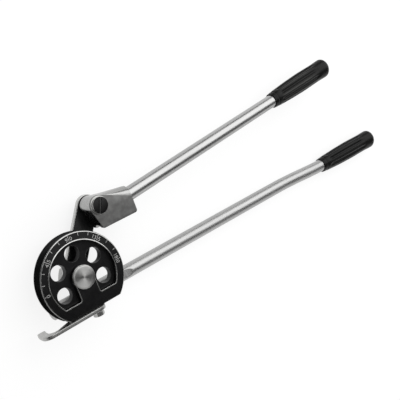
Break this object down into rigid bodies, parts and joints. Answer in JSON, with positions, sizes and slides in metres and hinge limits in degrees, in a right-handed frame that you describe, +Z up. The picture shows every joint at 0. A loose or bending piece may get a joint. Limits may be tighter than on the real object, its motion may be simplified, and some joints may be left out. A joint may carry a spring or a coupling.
{
  "type": "lever tube bender",
  "caption": "Hand lever tube bender: grooved round die on a fixed handle, a hook that holds the tube, and a forming shoe with its own handle that swings round the die's axle on a link.",
  "frame": {"origin": "on the die's axle, at the plane of the bench that the tool lies on", "axes": "+X along the fixed handle towards its grip, +Z up along the axle towards the die's marked face, +Y towards the forming handle"},
  "size_m": [0.6716, 0.1792, 0.0555],
  "materials": {
    "black_finish": "satin black cast die with bare scale lines",
    "bright_steel": "turned bright steel",
    "zinc_steel": "zinc plated steel",
    "plated_bar": "satin plated round bar",
    "dark_steel": "black oxide steel",
    "link_steel": "black flat steel with bright ground edges",
    "forged_steel": "grey forged steel, polished on its round top",
    "bronze": "plain bearing bronze",
    "grip_rubber": "black moulded rubber with shallow lengthwise flutes"
  },
  "bodies": {
    "die_and_fixed_handle": {"bending_die": "black_finish", "axle": "bright_steel", "axle_spacer": "zinc_steel", "axle_washer": "zinc_steel", "axle_nut": "zinc_steel", "lower_handle": "plated_bar", "handle_screws": "dark_steel", "handle_lock_washers": "zinc_steel", "lower_grip": "grip_rubber", "hook_screw": "zinc_steel", "hook_washer": "zinc_steel", "hook_stop": "bright_steel"},
    "link": {"link": "link_steel", "link_bush": "bronze", "pivot_pin": "dark_steel", "pin_head_washer": "bright_steel", "thrust_washer": "zinc_steel", "pin_nut_washer": "zinc_steel", "pin_nut": "zinc_steel"},
    "forming_handle": {"shoe": "forged_steel", "shoe_bush": "bronze", "upper_handle": "plated_bar", "handle_set_screw": "dark_steel", "upper_grip": "grip_rubber"},
    "hook": {"hook": "zinc_steel"}
  },
  "joints": [
    {"name": "link_swing", "type": "hinge", "parent": "die_and_fixed_handle", "child": "link", "pos_m": [0, 0, 0.01755], "axis": [0, 0, 1], "range_deg": [-54, 126]},
    {"name": "handle_pivot", "type": "hinge", "parent": "link", "child": "forming_handle", "pos_m": [0.0529, 0.07281, 0.0372], "axis": [0, 0, 1], "range_deg": [-36, 114]},
    {"name": "hook_swing", "type": "hinge", "parent": "die_and_fixed_handle", "child": "hook", "pos_m": [0.003, -0.0451, 0.0408], "axis": [0, 1, 0], "range_deg": [0, 90]}
  ]
}
